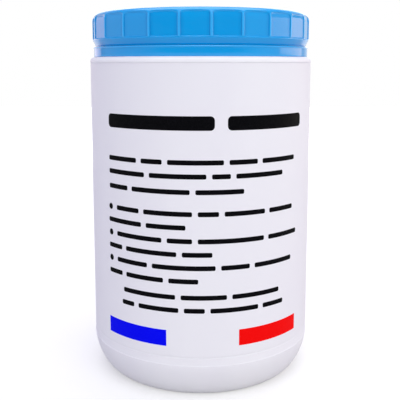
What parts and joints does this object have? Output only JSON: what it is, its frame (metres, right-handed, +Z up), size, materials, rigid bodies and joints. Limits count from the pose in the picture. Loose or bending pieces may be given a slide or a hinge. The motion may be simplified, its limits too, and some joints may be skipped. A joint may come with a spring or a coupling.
{
  "type": "screw pot of furniture repair wax sticks",
  "caption": "Wide-mouth white pot with a blue ribbed tamper-evident screw lid, packed with upright moulded sticks of furniture repair wax.",
  "frame": {"origin": "middle of the face that the pot stands on", "axes": "+Z up along the pot's axis, the label's front faces -Y, +X is to the right of the front"},
  "size_m": [0.105, 0.105, 0.1692],
  "materials": {
    "pot_plastic": "satin white moulded plastic",
    "label_film": "smooth white printed film",
    "lid_plastic": "semi-gloss blue moulded plastic",
    "liner_foam": "fine white foam",
    "wax_oak": "dull cast wax, light oak",
    "wax_beech": "dull cast wax, cherry brown",
    "wax_walnut": "dull cast wax, walnut brown",
    "wax_wenge": "dull cast wax, dark brown",
    "print_black": "black printing ink",
    "print_blue": "blue printing ink",
    "print_red": "red printing ink"
  },
  "bodies": {
    "pot": {"jar_body": "pot_plastic", "wrap_label": "label_film", "tamper_band": "lid_plastic", "wax_stick_01": "wax_oak", "wax_stick_02": "wax_beech", "wax_stick_03": "wax_walnut", "wax_stick_04": "wax_wenge", "wax_stick_05": "wax_oak", "wax_stick_06": "wax_beech", "wax_stick_07": "wax_walnut", "wax_stick_08": "wax_wenge", "wax_stick_09": "wax_beech", "wax_stick_10": "wax_walnut"},
    "liner": {"seal_liner": "liner_foam"},
    "lid": {"screw_cap": "lid_plastic"}
  },
  "joints": [
    {"name": "lid_rise", "type": "slide", "parent": "pot", "child": "liner", "axis": [0, 0, 1], "range_m": [0, 0.0241]},
    {"name": "lid_turn", "type": "hinge", "parent": "liner", "child": "lid", "pos_m": [0, 0, 0.158], "axis": [0, 0, 1], "range_deg": [0, 1440]}
  ],
  "couplings": [
    {"joint": "lid_rise", "follows": "lid_turn", "m_per_rad": 0.00095493}
  ]
}
